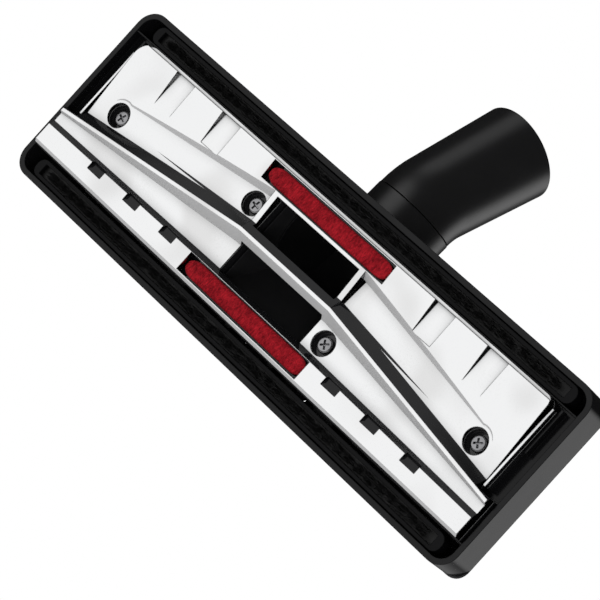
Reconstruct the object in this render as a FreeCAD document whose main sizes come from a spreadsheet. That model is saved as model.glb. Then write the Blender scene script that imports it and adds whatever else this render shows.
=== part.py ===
import FreeCAD, Part
import os
import re
import Sketcher
from FreeCAD import Placement, Rotation, Vector

# Vacuum brush: a combination floor head. Millimetres, +Z up, the head stands on its sole.
# The origin is on the floor under the middle of the sole. X runs along the head, +Y to the neck.

SIZES = {
    # Casing
    "head_length": 280.0,
    "head_depth": 90.0,
    "corner_radius": 9.0,
    "shell_wall": 2.5,
    "rim_height": 5.0,
    "parting_height": 22.0,
    "shoulder_height": 33.0,
    "shoulder_inset": 9.0,
    "shoulder_round": 6.0,
    "deck_thickness": 2.0,
    "trough_wall": 0.6,
    "hump_half": 38.6,
    "hump_front_height": 41.0,
    "hump_top_height": 44.0,
    "hump_wall": 2.6,
    "slot_gap": 0.7,
    # Sole plate
    "rear_margin": 12.4,
    "front_margin": 13.8,
    "end_margin": 4.5,
    "end_step": 8.0,
    "sole_back": 10.0,
    "sole_gap": 0.15,
    "flange_width": 1.3,
    "flange_rise": 1.4,
    "edge_bevel": 1.2,
    "middle_half": 28.5,
    "plate_rise": 2.8,
    "plate_end_rise": 4.5,
    "terrace_bevel": 3.0,
    "terrace_near": 5.9,
    "terrace_height": 4.4,
    "terrace_height_end": 3.0,
    "terrace_run_end": 8.0,
    "hood_radius": 10.0,
    "hood_gap": 0.6,
    "hood_lap": 0.7,
    "terrace_overlap": 1.4,
    "crest_line": 1.0,
    "crest_land": 1.6,
    "crest_end_gap": 9.0,
    "crest_slope": 5.8,
    "crest_slope_end": 2.2,
    "wedge_run": 2.4,
    "wedge_sweep": 0.015,
    "wedge_height": 5.2,
    "wedge_height_end": 1.6,
    "opening_half": 25.7,
    "opening_to_rear_strip": 6.15,
    "opening_to_front_strip": 6.7,
    "ridge_to_strip": 4.9,
    "rear_opening_near": 4.4,
    "front_opening_near": -3.3,
    "channel_margin": 29.8,
    "channel_pitch": 30.7,
    "channel_half": 6.0,
    "channel_floor_half": 5.2,
    "channel_depth": 1.9,
    "corner_left": 8.0,
    "corner_right": 3.5,
    "lip_gap": 0.9,
    "lip_width": 1.2,
    "lip_rise": 3.0,
    "notch_margin": 34.7,
    "notch_pitch": 24.15,
    "notch_width": 8.6,
    "notch_reach": 3.4,
    "notch_depth": 2.6,
    "hollow_inner": 44.0,
    "hollow_screw_gap": 9.5,
    "hollow_ceiling": 6.8,
    "hollow_margin": 4.5,
    # Lint strips
    "strip_length": 75.0,
    "strip_width": 8.2,
    "strip_face": 1.8,
    "strip_back": 5.0,
    "strip_gap": 0.5,
    "strip_rear_margin": 6.45,
    "strip_front_margin": 6.3,
    # Screws of the sole
    "outer_screw_margin": 26.5,
    "inner_screw_x": 34.1,
    "inner_screw_y": 11.4,
    "screw_head_radius": 3.6,
    "screw_head_height": 2.2,
    "screw_shank_radius": 1.9,
    "screw_length": 13.5,
    "screw_seat": 8.4,
    "pocket_radius": 5.6,
    "boss_radius": 4.4,
    # Neck drum and collar
    "pivot_y": 18.0,
    "pivot_height": 44.4,
    "collar_slope": 5.6,
    "tilt_down": 1.0,
    "tilt_up": 60.0,
    "drum_radius": 22.0,
    "drum_half": 28.0,
    "drum_wall": 2.5,
    "trunnion_radius": 7.5,
    "trunnion_length": 7.0,
    "collar_radius": 19.6,
    "collar_end": 34.6,
    "fit_gap": 0.08,
    "running_gap": 0.4,
    "post_half": 15.2,
    "cap_height": 4.5,
    "cap_screw_line": 12.7,
    "cap_screw_radius": 1.3,
    "cap_screw_length": 12.0,
    "duct_wall": 1.6,
    "duct_step": 16.0,
    "seal_thickness": 1.2,
    # Elbow tube
    "bend_angle": 28.6,
    "bend_radius": 24.0,
    "elbow_radius": 19.4,
    "mouth_radius": 21.0,
    "straight_length": 45.8,
    "socket_radius": 17.5,
    "socket_depth": 40.0,
    "passage_radius": 15.0,
    "spigot_radius": 16.9,
    "spigot_length": 14.0,
    "seam_gap": 0.5,
    "ring_radius": 18.2,
    "ring_bore": 16.1,
    "ring_width": 2.4,
    # Brushes
    "brush_stroke": 7.5,
    "bar_margin": 7.1,
    "bar_width": 8.4,
    "bar_end_margin": 9.0,
    "bar_foot": 7.0,
    "bar_top": 13.2,
    "back_width": 5.0,
    "back_height": 2.0,
    "tuft_foot": 4.6,
    "tuft_width": 2.6,
    "tuft_depth": 3.4,
    "tuft_pitch": 6.3,
    "arm_line": 48.0,
    "arm_width": 12.0,
    "arm_clearance": 0.6,
    "arm_thick": 3.0,
    "guide_radius": 2.5,
    # Pedal
    "pedal_margin": 24.0,
    "pedal_height": 30.0,
    "pedal_half": 26.0,
    "pedal_reach": 12.5,
    "pedal_rise": 8.0,
    "pedal_thickness": 2.5,
    "pedal_tilt": 17.5,
    "pedal_arm": 12.5,
    "hub_radius": 4.2,
    "arm_inner": 17.0,
    "arm_thickness": 3.0,
    "pin_radius": 2.0,
    "pin_length": 62.0,
    "drive_pin_radius": 1.8,
    "tower_inner": 12.0,
    "tower_thickness": 3.5,
    "leaf_height": 3.0,
    "leaf_length": 8.0,
    "leaf_thickness": 0.5,
}

# Measures that follow from others
DERIVED = {
    "sole_rear": "head_depth / 2 - rear_margin",
    "sole_front": "head_depth / 2 - front_margin",
    "front_half": "head_length / 2 - end_margin",
    "rear_half": "front_half - end_step",
    "strip_rear_y": "sole_rear - strip_rear_margin",
    "strip_front_y": "strip_front_margin - sole_front",
    "rear_opening_far": "strip_rear_y - opening_to_rear_strip",
    "front_opening_far": "strip_front_y + opening_to_front_strip",
    "ridge_line": "strip_front_y + ridge_to_strip",
    "crest_end": "ridge_line - wedge_sweep * (front_half - middle_half) + crest_end_gap",
    "crest_sweep": "(crest_line - crest_end) / (front_half - middle_half)",
    "outer_screw_x": "head_length / 2 - outer_screw_margin",
    "outer_screw_y": "crest_line - crest_sweep * (outer_screw_x - middle_half) + hood_radius + hood_gap",
    "terrace_far": "rear_opening_far + terrace_overlap",
    "terrace_sweep": "(terrace_far - outer_screw_y - hood_radius + hood_lap) / (outer_screw_x - middle_half)",
    "channel_outer": "rear_half - channel_margin",
    "channel_inner": "channel_outer - channel_pitch",
    "notch_outer": "front_half - notch_margin",
    "notch_middle": "notch_outer - notch_pitch",
    "notch_inner": "notch_middle - notch_pitch",
    "hollow_outer": "outer_screw_x - hollow_screw_gap",
    "pedal_y": "pedal_margin - head_depth / 2",
    "bar_line": "head_depth / 2 - bar_margin",
    "bar_length": "head_length - 2 * bar_end_margin",
    "deck_top": "sole_back + deck_thickness",
    "arm_foot": "deck_top + brush_stroke + arm_clearance",
    "arm_top": "arm_foot + arm_thick",
}

doc = FreeCAD.newDocument("VacuumBrush")
sheet = doc.addObject("Spreadsheet::Sheet", "Sizes")
for row, (alias, value) in enumerate(SIZES.items(), start=1):
    sheet.set(f"A{row}", alias)
    sheet.set(f"B{row}", str(value))
    sheet.setAlias(f"B{row}", alias)
doc.recompute()


def size(alias):
    """The value of one driving size, read from the sheet."""
    return float(sheet.get(alias))


def spelled(word):
    """A size as its cell in the sheet, and a derived measure as its formula in brackets."""
    if word in DERIVED:
        return "(" + re.sub("[a-z_]+", lambda found: spelled(found.group()), DERIVED[word]) + ")"
    return "Sizes." + word if word in SIZES else word


def bind(part, name, text):
    """Drive a property by a formula of sizes and derived measures."""
    part.setExpression(name, re.sub("[a-z_]+", lambda found: spelled(found.group()), text))


def place(part, **where):
    """Bind coordinates of the placement, given as x, y or z."""
    for axis, text in where.items():
        bind(part, "Placement.Base." + axis, text)


def block(name, x, y, z):
    """A box between three pairs of expressions."""
    solid = doc.addObject("Part::Box", name)
    for side, (low, high) in zip(("Length", "Width", "Height"), (x, y, z)):
        bind(solid, side, f"({high}) - ({low})")
    place(solid, x=x[0], y=y[0], z=z[0])
    return solid


TURNS = {
    "x": Rotation(Vector(0, 1, 0), 90),
    "y": Rotation(Vector(1, 0, 0), -90),
    "z": Rotation(),
}


def rod(name, axis, radius, span, centre):
    """A cylinder along one axis, from span[0] to span[1], through the centre given for the other two."""
    solid = doc.addObject("Part::Cylinder", name)
    solid.Placement = Placement(Vector(), TURNS[axis])
    bind(solid, "Radius", radius)
    bind(solid, "Height", f"({span[1]}) - ({span[0]})")
    where = dict(zip([a for a in "xyz" if a != axis], centre))
    where[axis] = span[0]
    place(solid, **where)
    return solid


def joined(name, solids):
    fused = doc.addObject("Part::MultiFuse", name)
    fused.Shapes = solids
    fused.Refine = True
    return fused


def grouped(name, solids):
    """Separate solids kept in one piece, such as a set of screws."""
    group = doc.addObject("Part::Compound", name)
    group.Links = solids
    return group


def cut(name, base, tools):
    tool = tools[0] if len(tools) == 1 else joined(name + "Tools", tools)
    result = doc.addObject("Part::Cut", name)
    result.Base = base
    result.Tool = tool
    result.Refine = True
    return result


def shared(name, first, second):
    result = doc.addObject("Part::Common", name)
    result.Base = first
    result.Tool = second
    return result


PLANES = {
    "XY": Rotation(),
    "YZ": Rotation(Vector(0, 1, 0), Vector(0, 0, 1), Vector(1, 0, 0), "ZXY"),
}


def plane_of(body, role):
    for feature in body.Origin.OriginFeatures:
        if feature.Role == role:
            return feature
    raise ValueError(role)


def draw(drawing, points, circles):
    """Corners and circles of an outline; every coordinate and radius is an expression."""
    count = len(points)
    start = [Rotation(Vector(0, 0, 1), 360.0 * i / count).multVec(Vector(10, 0, 0)) for i in range(count)]
    for i in range(count):
        drawing.addGeometry(Part.LineSegment(start[i], start[(i + 1) % count]), False)
    for i in range(count):
        drawing.addConstraint(Sketcher.Constraint("Coincident", i, 2, (i + 1) % count, 1))
    for i, pair in enumerate(points):
        for kind, value, text in zip(("DistanceX", "DistanceY"), (start[i].x, start[i].y), pair):
            fixed = drawing.addConstraint(Sketcher.Constraint(kind, -1, 1, i, 1, value))
            bind(drawing, f"Constraints[{fixed}]", text)
    for across, up, radius in circles:
        ring = drawing.addGeometry(Part.Circle(Vector(), Vector(0, 0, 1), 5), False)
        for kind, text in (("DistanceX", across), ("DistanceY", up)):
            fixed = drawing.addConstraint(Sketcher.Constraint(kind, -1, 1, ring, 3, 1.0))
            bind(drawing, f"Constraints[{fixed}]", text)
        fixed = drawing.addConstraint(Sketcher.Constraint("Radius", ring, 5))
        bind(drawing, f"Constraints[{fixed}]", radius)


def sketch(body, name, plane, points=(), offset="0", circles=()):
    """An outline on one of a body's own origin planes."""
    drawing = body.newObject("Sketcher::SketchObject", name)
    drawing.AttachmentSupport = [(plane_of(body, plane + "_Plane"), "")]
    drawing.MapMode = "FlatFace"
    bind(drawing, "AttachmentOffset.Base.z", offset)
    draw(drawing, points, circles)
    return drawing


def outline(name, plane, points=(), offset="0", circles=()):
    """An outline that stands by itself, on a plane at a distance along X or Z."""
    drawing = doc.addObject("Sketcher::SketchObject", name)
    drawing.Placement = Placement(Vector(), PLANES[plane])
    place(drawing, **{"x" if plane == "YZ" else "z": offset})
    draw(drawing, points, circles)
    return drawing


def drawn(name, plane, points, span, circles=()):
    """An outline raised from span[0] to span[1] along X or Z."""
    solid = doc.addObject("Part::Extrusion", name)
    solid.Base = outline(name + "Outline", plane, points, span[0], circles)
    solid.DirMode = "Normal"
    solid.Solid = True
    bind(solid, "LengthFwd", f"({span[1]}) - ({span[0]})")
    return solid


def lofted(name, drawings):
    solid = doc.addObject("Part::Loft", name)
    solid.Sections = drawings
    solid.Solid = True
    solid.Ruled = True
    return solid


def rounded(name, base, radius, wanted):
    """Round the edges that the test picks out of a solid."""
    doc.recompute()
    picked = [i for i, edge in enumerate(base.Shape.Edges, start=1) if wanted(edge)]
    result = doc.addObject("Part::Fillet", name)
    result.Base = base
    result.Edges = [(i, radius, radius) for i in picked]
    return result


def rectangle(x, y):
    return [(x[0], y[0]), (x[1], y[0]), (x[1], y[1]), (x[0], y[1])]


def pad(body, drawing, length, kind="Pad", midplane=False, reverse=False):
    """Raise an outline, or with kind Pocket sink one; the recompute lets later features read it."""
    feature = body.newObject("PartDesign::" + kind, drawing.Name + kind)
    feature.Profile = drawing
    bind(feature, "Length", length)
    feature.Midplane = midplane
    feature.Reversed = reverse
    doc.recompute()
    return feature


def fillet(body, base, radius, wanted):
    """Round the edges of a body's last feature that the test picks out."""
    names = [f"Edge{i}" for i, edge in enumerate(base.Shape.Edges, start=1) if wanted(edge)]
    feature = body.newObject("PartDesign::Fillet", base.Name + "Round")
    feature.Base = (base, names)
    bind(feature, "Radius", radius)
    doc.recompute()
    return feature


def spread(edge):
    """How far an edge reaches along X, Y and Z."""
    box = edge.BoundBox
    return box.XLength, box.YLength, box.ZLength


def upright(edge):
    """True for a straight edge along Z."""
    across, along, up = spread(edge)
    return across < 1e-6 and along < 1e-6 and up > 1e-3


# Places that several pieces share
OUTER_SCREWS = [("outer_screw_x", "outer_screw_y"), ("-outer_screw_x", "outer_screw_y")]
INNER_SCREWS = [("inner_screw_x", "inner_screw_y"), ("-inner_screw_x", "-inner_screw_y")]
SIDES = (("Left", 1), ("Right", -1))


def beside(start, end, side):
    """A span along X on the +X side, or mirrored on the other one."""
    return (start, end) if side > 0 else (f"-({end})", f"-({start})")


def swept(at_middle, rate, reach):
    """A line of the sole that runs forward from the middle part towards the end."""
    return f"{at_middle} - {rate} * ({reach} - middle_half)"


def sole_section(name, offset, reach, rise, wedge, slope):
    """Underside of the sole across the head: flange, plate, dark slope, crest, wedge and front ridge."""
    crest = swept("crest_line", "crest_sweep", reach)
    wedge_end = swept("ridge_line + wedge_run", "wedge_sweep", reach)
    ridge = swept("ridge_line", "wedge_sweep", reach)
    return outline(name, "YZ", [
        ("sole_rear", "sole_back"),
        ("sole_rear", "flange_rise"),
        ("sole_rear - flange_width", "flange_rise"),
        ("sole_rear - flange_width - 0.1", "0"),
        (swept("terrace_near", "terrace_sweep", reach), rise),
        (crest, "0"),
        (f"{crest} - crest_land", "0"),
        (f"{crest} - {slope}", wedge),
        (wedge_end, wedge),
        (ridge, "0"),
        ("edge_bevel - sole_front", "0"),
        ("-sole_front", "edge_bevel"),
        ("-sole_front", "sole_back"),
    ], offset)


def terrace_section(name, offset, reach, near, height):
    """The recess behind the crest, cut from below: grey slope, flat and dark slope."""
    far = swept("terrace_far", "terrace_sweep", reach)
    crest = swept("crest_line", "crest_sweep", reach)
    return outline(name, "YZ", [
        (far, "-1"),
        (far, "plate_rise / 3"),
        (f"{far} - terrace_bevel", height),
        (near, height),
        (crest, "0"),
        (crest, "-1"),
    ], offset)


def tapered(name, x, far_x, y, z):
    """A straight-sided channel between two spans of X: x at its mouth z[0], far_x at its floor z[1]."""
    return lofted(name, [outline(name + "Mouth", "XY", rectangle(x, y), z[0]),
                         outline(name + "Floor", "XY", rectangle(far_x, y), z[1])])


def corner_cut(name, sign, radius):
    """What is taken off one rear corner of the sole to round it."""
    step = "" if sign > 0 else "-"
    square = block(name + "Square", beside(f"rear_half - {radius}", "rear_half + 1", sign),
                   (f"sole_rear - {radius}", "sole_rear + 1"), ("-1", "sole_back + 1"))
    return cut(name, square, [rod(name + "Rod", "z", radius, ("-2", "sole_back + 2"),
                                  (f"{step}(rear_half - {radius})", f"sole_rear - {radius}"))])


def make_sole_plate():
    end = ("front_half", "plate_end_rise", "wedge_height_end", "crest_slope_end")
    middle = ("middle_half", "plate_rise", "wedge_height", "crest_slope")
    body = lofted("SoleBody", [
        sole_section("SoleRightEnd", "-front_half", *end),
        sole_section("SoleRightMiddle", "-middle_half", *middle),
        sole_section("SoleLeftMiddle", "middle_half", *middle),
        sole_section("SoleLeftEnd", "front_half", *end),
    ])
    corner = swept("crest_line", "crest_sweep", "rear_half")
    openings = [
        block("RearOpening", ("-opening_half", "opening_half"), ("rear_opening_near", "rear_opening_far"),
              ("-1", "sole_back + 1")),
        block("FrontOpening", ("-opening_half", "opening_half"), ("front_opening_far", "front_opening_near"),
              ("-1", "sole_back + 1")),
    ]
    for name, line in (("Rear", "strip_rear_y"), ("Front", "strip_front_y")):
        half_x = "(strip_length / 2 + strip_gap)"
        half_y = "(strip_width / 2 + strip_gap)"
        openings.append(block(name + "StripSeat", (f"-{half_x}", half_x), (f"{line} - {half_y}", f"{line} + {half_y}"),
                              ("-1", "strip_back")))
    terraces, hoods, ends, lips, channels = [], [], [], [], []
    hollows, notches, pockets = [], [], []
    for side, sign in SIDES:
        step = "" if sign > 0 else "-"
        end_crest = swept("crest_line", "crest_sweep", "outer_screw_x")
        sections = [terrace_section(side + "TerraceMiddle", f"{step}(middle_half)", "middle_half", "terrace_near",
                                    "terrace_height"),
                    terrace_section(side + "TerraceEnd", f"{step}(outer_screw_x)", "outer_screw_x",
                                    end_crest + " + terrace_run_end", "terrace_height_end")]
        terraces.append(lofted(side + "Terrace", sections))
        hood = doc.addObject("Part::Cone", side + "Hood")
        bind(hood, "Radius1", "hood_radius")
        bind(hood, "Radius2", "hood_radius - terrace_bevel")
        bind(hood, "Height", "terrace_height_end")
        place(hood, x=f"{step}(outer_screw_x)", y="outer_screw_y")
        hoods.append(hood)
        ends.append(block(side + "Corner", beside("rear_half", "head_length", sign), (corner, "sole_rear + 1"),
                          ("-1", "sole_back + 1")))
        radius = "corner_left" if sign > 0 else "corner_right"
        ends.append(corner_cut(side + "CornerRound", sign, radius))
        lip_y = (f"{corner} + 2", f"sole_rear - {radius} + 0.5")
        lips += [block(side + "LipFoot", beside("rear_half - 1", "rear_half + lip_gap + lip_width", sign), lip_y,
                       ("sole_back - 2", "sole_back")),
                 block(side + "Lip", beside("rear_half + lip_gap", "rear_half + lip_gap + lip_width", sign), lip_y,
                       ("lip_rise", "sole_back"))]
        hollows.append(block(side + "Hollow", beside("hollow_inner", "hollow_outer", sign),
                             ("hollow_margin - sole_front", "sole_rear - hollow_margin"),
                             ("hollow_ceiling", "sole_back + 1")))
        for spot in ("channel_inner", "channel_outer"):
            channels.append(tapered(
                side + spot.title().replace("_", ""), (f"{step}{spot} - channel_half", f"{step}{spot} + channel_half"),
                (f"{step}{spot} - channel_floor_half", f"{step}{spot} + channel_floor_half"),
                (swept("terrace_far - 0.6", "terrace_sweep", spot), "sole_rear - flange_width - 0.05"),
                ("0", "channel_depth")))
        for spot in ("notch_inner", "notch_middle", "notch_outer"):
            ridge = swept("ridge_line", "wedge_sweep", spot)
            notches.append(drawn(side + spot.title().replace("_", ""), "YZ", [
                (f"{ridge} + 1", "notch_depth"), (f"{ridge} - notch_reach", "0"),
                (f"{ridge} - notch_reach", "-1"), (f"{ridge} + 1", "-1"),
            ], (f"{step}{spot} - notch_width / 2", f"{step}{spot} + notch_width / 2")))
    for number, (spot_x, spot_y) in enumerate(OUTER_SCREWS + INNER_SCREWS):
        pockets.append(rod(f"ScrewPocket{number}", "z", "pocket_radius", ("-1", "screw_seat"), (spot_x, spot_y)))
        pockets.append(rod(f"SoleHole{number}", "z", "screw_shank_radius + 0.2", ("-1", "sole_back + 1"),
                        (spot_x, spot_y)))
    stages = {"Openings": openings, "Terraces": terraces, "Hoods": hoods, "Channels": channels, "Notches": notches,
              "Ends": ends, "Hollows": hollows, "Pockets": pockets}
    for name, tools in stages.items():
        body = cut("SoleWith" + name, body, tools)
    return joined("SolePlate", [body] + lips)


def make_lint_strip(name, line):
    strip = block(name + "Block", ("-strip_length / 2", "strip_length / 2"),
                  (f"{line} - strip_width / 2", f"{line} + strip_width / 2"), ("strip_face", "strip_back"))
    return rounded(name, strip, 2.0, upright)


def make_sole_screws():
    screws = []
    for number, (spot_x, spot_y) in enumerate(OUTER_SCREWS + INNER_SCREWS):
        head = rod(f"ScrewHead{number}", "z", "screw_head_radius", ("screw_seat - screw_head_height", "screw_seat"),
                   (spot_x, spot_y))
        shank = rod(f"ScrewShank{number}", "z", "screw_shank_radius", ("screw_seat - 0.1", "screw_seat + screw_length"),
                    (spot_x, spot_y))
        slots = [block(f"ScrewSlotX{number}", (f"{spot_x} - 2.2", f"{spot_x} + 2.2"),
                       (f"{spot_y} - 0.4", f"{spot_y} + 0.4"), ("screw_seat - screw_head_height - 1",
                                                              "screw_seat - screw_head_height + 1.2")),
                 block(f"ScrewSlotY{number}", (f"{spot_x} - 0.4", f"{spot_x} + 0.4"),
                       (f"{spot_y} - 2.2", f"{spot_y} + 2.2"), ("screw_seat - screw_head_height - 1",
                                                              "screw_seat - screw_head_height + 1.2"))]
        screws.append(cut(f"Screw{number}", joined(f"ScrewBody{number}", [head, shank]), slots))
    return grouped("SoleScrews", screws)


def make_base_frame():
    body = doc.addObject("PartDesign::Body", "BaseFrame")
    outer_x, outer_y = "head_length / 2", "head_depth / 2"
    inner_x, inner_y = "(head_length / 2 - shell_wall)", "(head_depth / 2 - shell_wall)"
    pad(body, sketch(body, "BaseOuter", "XY", rectangle((f"-{outer_x}", outer_x), (f"-{outer_y}", outer_y)),
                     "rim_height"), "parting_height - rim_height")
    hollow = pad(body, sketch(body, "BaseInner", "XY", rectangle((f"-{inner_x}", inner_x), (f"-{inner_y}", inner_y)),
                              "rim_height"), "parting_height - rim_height", "Pocket", reverse=True)
    outermost = size("head_length") / 2 - 0.01
    shell = fillet(body, hollow, "corner_radius - shell_wall",
                   lambda edge: upright(edge) and abs(edge.BoundBox.Center.x) < outermost)
    fillet(body, shell, "corner_radius", lambda edge: upright(edge) and abs(edge.BoundBox.Center.x) > outermost)
    pad(body, sketch(body, "Deck", "XY", rectangle(
        (f"-{inner_x} - 0.5", f"{inner_x} + 0.5"),
        ("-sole_front - sole_gap - trough_wall", "sole_rear + sole_gap + trough_wall")), "sole_back"),
        "deck_thickness")
    for name, low, high in (("Front", "-sole_front - sole_gap - trough_wall", "-sole_front - sole_gap"),
                            ("Rear", "sole_rear + sole_gap", "sole_rear + sole_gap + trough_wall")):
        pad(body, sketch(body, name + "Skirt", "XY", rectangle((f"-{inner_x}", inner_x), (low, high)),
                         "rim_height + 0.5"), "sole_back - rim_height")
    for side, sign in SIDES:
        reach = beside("drum_half + running_gap", "drum_half + trunnion_length - running_gap", sign)
        pad(body, sketch(body, side + "Post", "YZ", rectangle(
            ("pivot_y - post_half", "pivot_y + post_half"), ("deck_top - 0.5", "pivot_height")), reach[0]),
            f"({reach[1]}) - ({reach[0]})")
        ledge = beside("arm_inner - 1", "arm_inner + arm_thickness + 1", sign)
        pad(body, sketch(body, side + "Ledge", "XY", rectangle(ledge, ("pedal_y - leaf_length - 1", "front_opening_far - duct_wall - 0.6")),
                         "deck_top - 0.5"), f"pedal_height - hub_radius - running_gap - leaf_height - deck_top + 0.5")
        step = "" if sign > 0 else "-"
        middle = f"(({reach[0]}) + ({reach[1]})) / 2"
        pad(body, sketch(body, side + "CapScrewHoles", "XY", circles=[
            (middle, f"pivot_y {turn} cap_screw_line", "cap_screw_radius + 0.1") for turn in "+-"],
            offset="pivot_height + cap_height - cap_screw_length - 1"), "cap_screw_length", "Pocket", reverse=True)
        pad(body, sketch(body, side + "Guides", "XY", circles=[
            (f"{step}(arm_line)", "-bar_line + arm_width", "guide_radius"),
            (f"{step}(arm_line)", "bar_line - arm_width", "guide_radius")], offset="deck_top - 0.5"),
            "shoulder_height - shell_wall - deck_top")
    for side, sign in SIDES:
        pad(body, sketch(body, side + "EndRib", "XY", rectangle(
            beside("head_length / 2 - 9.6", "head_length / 2 - 8.4", sign), ("10", "sole_rear - 1")), "rim_height + 1"),
            "sole_back - rim_height")
    bosses = pad(body, sketch(body, "InnerBosses", "XY", circles=[
        (x, y, "boss_radius") for x, y in INNER_SCREWS], offset="deck_top - 0.5"), "14")
    pad(body, sketch(body, "TrunnionSeats", "YZ", circles=[
        ("pivot_y", "pivot_height", "trunnion_radius + fit_gap")]), "head_length", "Pocket", midplane=True)
    pad(body, sketch(body, "ScrewHoles", "XY", circles=[
        (x, y, "screw_shank_radius + 0.1") for x, y in OUTER_SCREWS + INNER_SCREWS]), "screw_seat + screw_length + 2",
        "Pocket", reverse=True)
    pad(body, sketch(body, "DuctHole", "XY", rectangle(
        ("-opening_half - 0.5", "opening_half + 0.5"), ("front_opening_far - 0.5", "rear_opening_far + 0.5"))),
        "deck_top + 1", "Pocket", reverse=True)
    return body


def make_top_cover():
    def shell_loft(name, inset, top):
        def ring(label, height, step):
            x, y = f"(head_length / 2 - {step})", f"(head_depth / 2 - {step})"
            return outline(label, "XY", rectangle((f"-{x}", x), (f"-{y}", y)), height)
        return lofted(name, [ring(name + "Low", "parting_height", inset),
                             ring(name + "High", top, f"({inset} + shoulder_inset)")])

    def slanted(edge):
        wide, deep, tall = spread(edge)
        return tall > 5 and wide > 0.1 and deep > 0.1

    def crown(edge):
        return edge.BoundBox.ZMin > size("shoulder_height") - 0.1

    outer = rounded("CoverCorners", shell_loft("CoverOuter", "0", "shoulder_height"), size("corner_radius"), slanted)
    outer = rounded("CoverCrown", outer, size("shoulder_round"), crown)
    hump_side = [
        ("1 - head_depth / 2", "parting_height + 1"),
        ("3.5 - head_depth / 2", "hump_front_height"),
        ("pivot_y - drum_radius", "hump_top_height"),
        ("pivot_y + drum_radius", "hump_top_height"),
        ("pivot_y + drum_radius + 2", "parting_height + 2"),
    ]
    hump = drawn("HumpBlock", "YZ", hump_side, ("-hump_half", "hump_half"))
    barrel = rod("HumpBarrel", "x", "drum_radius + running_gap + hump_wall", ("-hump_half", "hump_half"),
                 ("pivot_y", "pivot_height"))
    bosses = [rod(f"CoverBoss{number}", "z", "boss_radius", ("deck_top", "shoulder_height - shell_wall + 0.5"), spot)
              for number, spot in enumerate(OUTER_SCREWS)]
    inside = shell_loft("CoverInner", "shell_wall", "shoulder_height - shell_wall")
    hump_inside = [
        ("1 + hump_wall - head_depth / 2", "parting_height - 1"),
        ("3.5 + hump_wall - head_depth / 2", "hump_front_height - hump_wall"),
        ("pivot_y - drum_radius", "hump_top_height - hump_wall"),
        ("pivot_y + drum_radius - 3", "hump_top_height - hump_wall"),
        ("pivot_y + drum_radius - 1", "parting_height - 1"),
    ]
    hollow = drawn("HumpHollow", "YZ", hump_inside, ("hump_wall - hump_half", "hump_half - hump_wall"))
    drum_room = rod("DrumRoom", "x", "drum_radius + running_gap", ("hump_wall - hump_half", "hump_half - hump_wall"),
                    ("pivot_y", "pivot_height"))
    reach = 'collar_radius + slot_gap'
    slot = []
    for number, angle in enumerate(("collar_slope - tilt_down", "collar_slope + 12", "collar_slope + 28",
                                    "collar_slope + 44", "collar_slope + tilt_up")):
        ray = doc.addObject("Part::Box", f"SlotRay{number}")
        bind(ray, "Length", f"2 * ({reach})")
        bind(ray, "Width", "60")
        bind(ray, "Height", f"2 * ({reach})")
        ray.Placement = Placement(Vector(), Rotation(Vector(1, 0, 0), 1))
        bind(ray, "Placement.Rotation.Angle", angle)
        place(ray, x=f"-({reach})", y=f"pivot_y + ({reach}) * sin({angle})",
              z=f"pivot_height - ({reach}) * cos({angle})")
        slot.append(ray)
    pedal_hole = block("PedalHole", ("-pedal_half - 0.7", "pedal_half + 0.7"),
                       ("pedal_y - pedal_reach - 3.4", "pedal_y + pedal_reach + 3.4"), ("shoulder_height", "60"))
    screw_holes = [rod(f"CoverHole{number}", "z", "screw_shank_radius + 0.1",
                       ("deck_top - 1", "screw_seat + screw_length + 2"), spot)
                   for number, spot in enumerate(OUTER_SCREWS)]
    below = block("BelowParting", ("-head_length", "head_length"), ("-head_depth", "head_depth"),
                  ("0", "parting_height"))
    shell = cut("CoverShell", joined("CoverSolid", [outer, hump, barrel]), [inside, hollow, drum_room, below])
    ears = []
    for side, sign in SIDES:
        ears.append(block(side + "Ear", beside("pedal_half + 1.2", "pedal_half + 5.2", sign),
                          ("pedal_y - 4.5", "pedal_y + 4.5"), ("pedal_height - 4.5", "hump_top_height - hump_wall - 1")))
    pin_hole = rod("PinHole", "x", "pin_radius + 0.02", ("-hump_half + 0.5", "hump_half - 0.5"),
                   ("pedal_y", "pedal_height"))
    return cut("TopCover", joined("CoverWithBosses", [shell] + bosses + ears), slot + [pedal_hole, pin_hole] + screw_holes)


def make_air_duct():
    """Funnel from the two openings to the drum, with its mouth cut to the drum's round."""
    def side(grow):
        front = f"(front_opening_far - 0.3 - {grow})"
        rear = f"(rear_opening_far + 0.3 + {grow})"
        return [(front, "deck_top"), (rear, "deck_top"), (rear, "pivot_height - 6"),
                (f"(pivot_y - drum_radius + 3.5 - {grow})", "pivot_height - 6"), (front, "duct_step")]
    outer = drawn("DuctOuter", "YZ", side("duct_wall"), ("-opening_half - 0.3 - duct_wall", "opening_half + 0.3 + duct_wall"))
    inner = drawn("DuctInner", "YZ", side("0"), ("-opening_half - 0.3", "opening_half + 0.3"))
    mouth = rod("DuctMouth", "x", "drum_radius + running_gap + seal_thickness", ("-drum_half - 4", "drum_half + 4"),
                ("pivot_y", "pivot_height"))
    duct = cut("AirDuct", outer, [inner, mouth])
    band = drawn("SealOuter", "YZ", side("duct_wall"), ("-opening_half - 0.3 - duct_wall", "opening_half + 0.3 + duct_wall"))
    band_inner = drawn("SealInner", "YZ", side("0"), ("-opening_half - 0.3", "opening_half + 0.3"))
    ring = rod("SealRing", "x", "drum_radius + running_gap + seal_thickness - 0.02", ("-drum_half", "drum_half"),
               ("pivot_y", "pivot_height"))
    bore = rod("SealBore", "x", "drum_radius + running_gap", ("-drum_half - 1", "drum_half + 1"),
               ("pivot_y", "pivot_height"))
    seal = shared("DuctSeal", cut("SealBand", band, [band_inner]), cut("SealTube", ring, [bore]))
    return duct, seal


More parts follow.
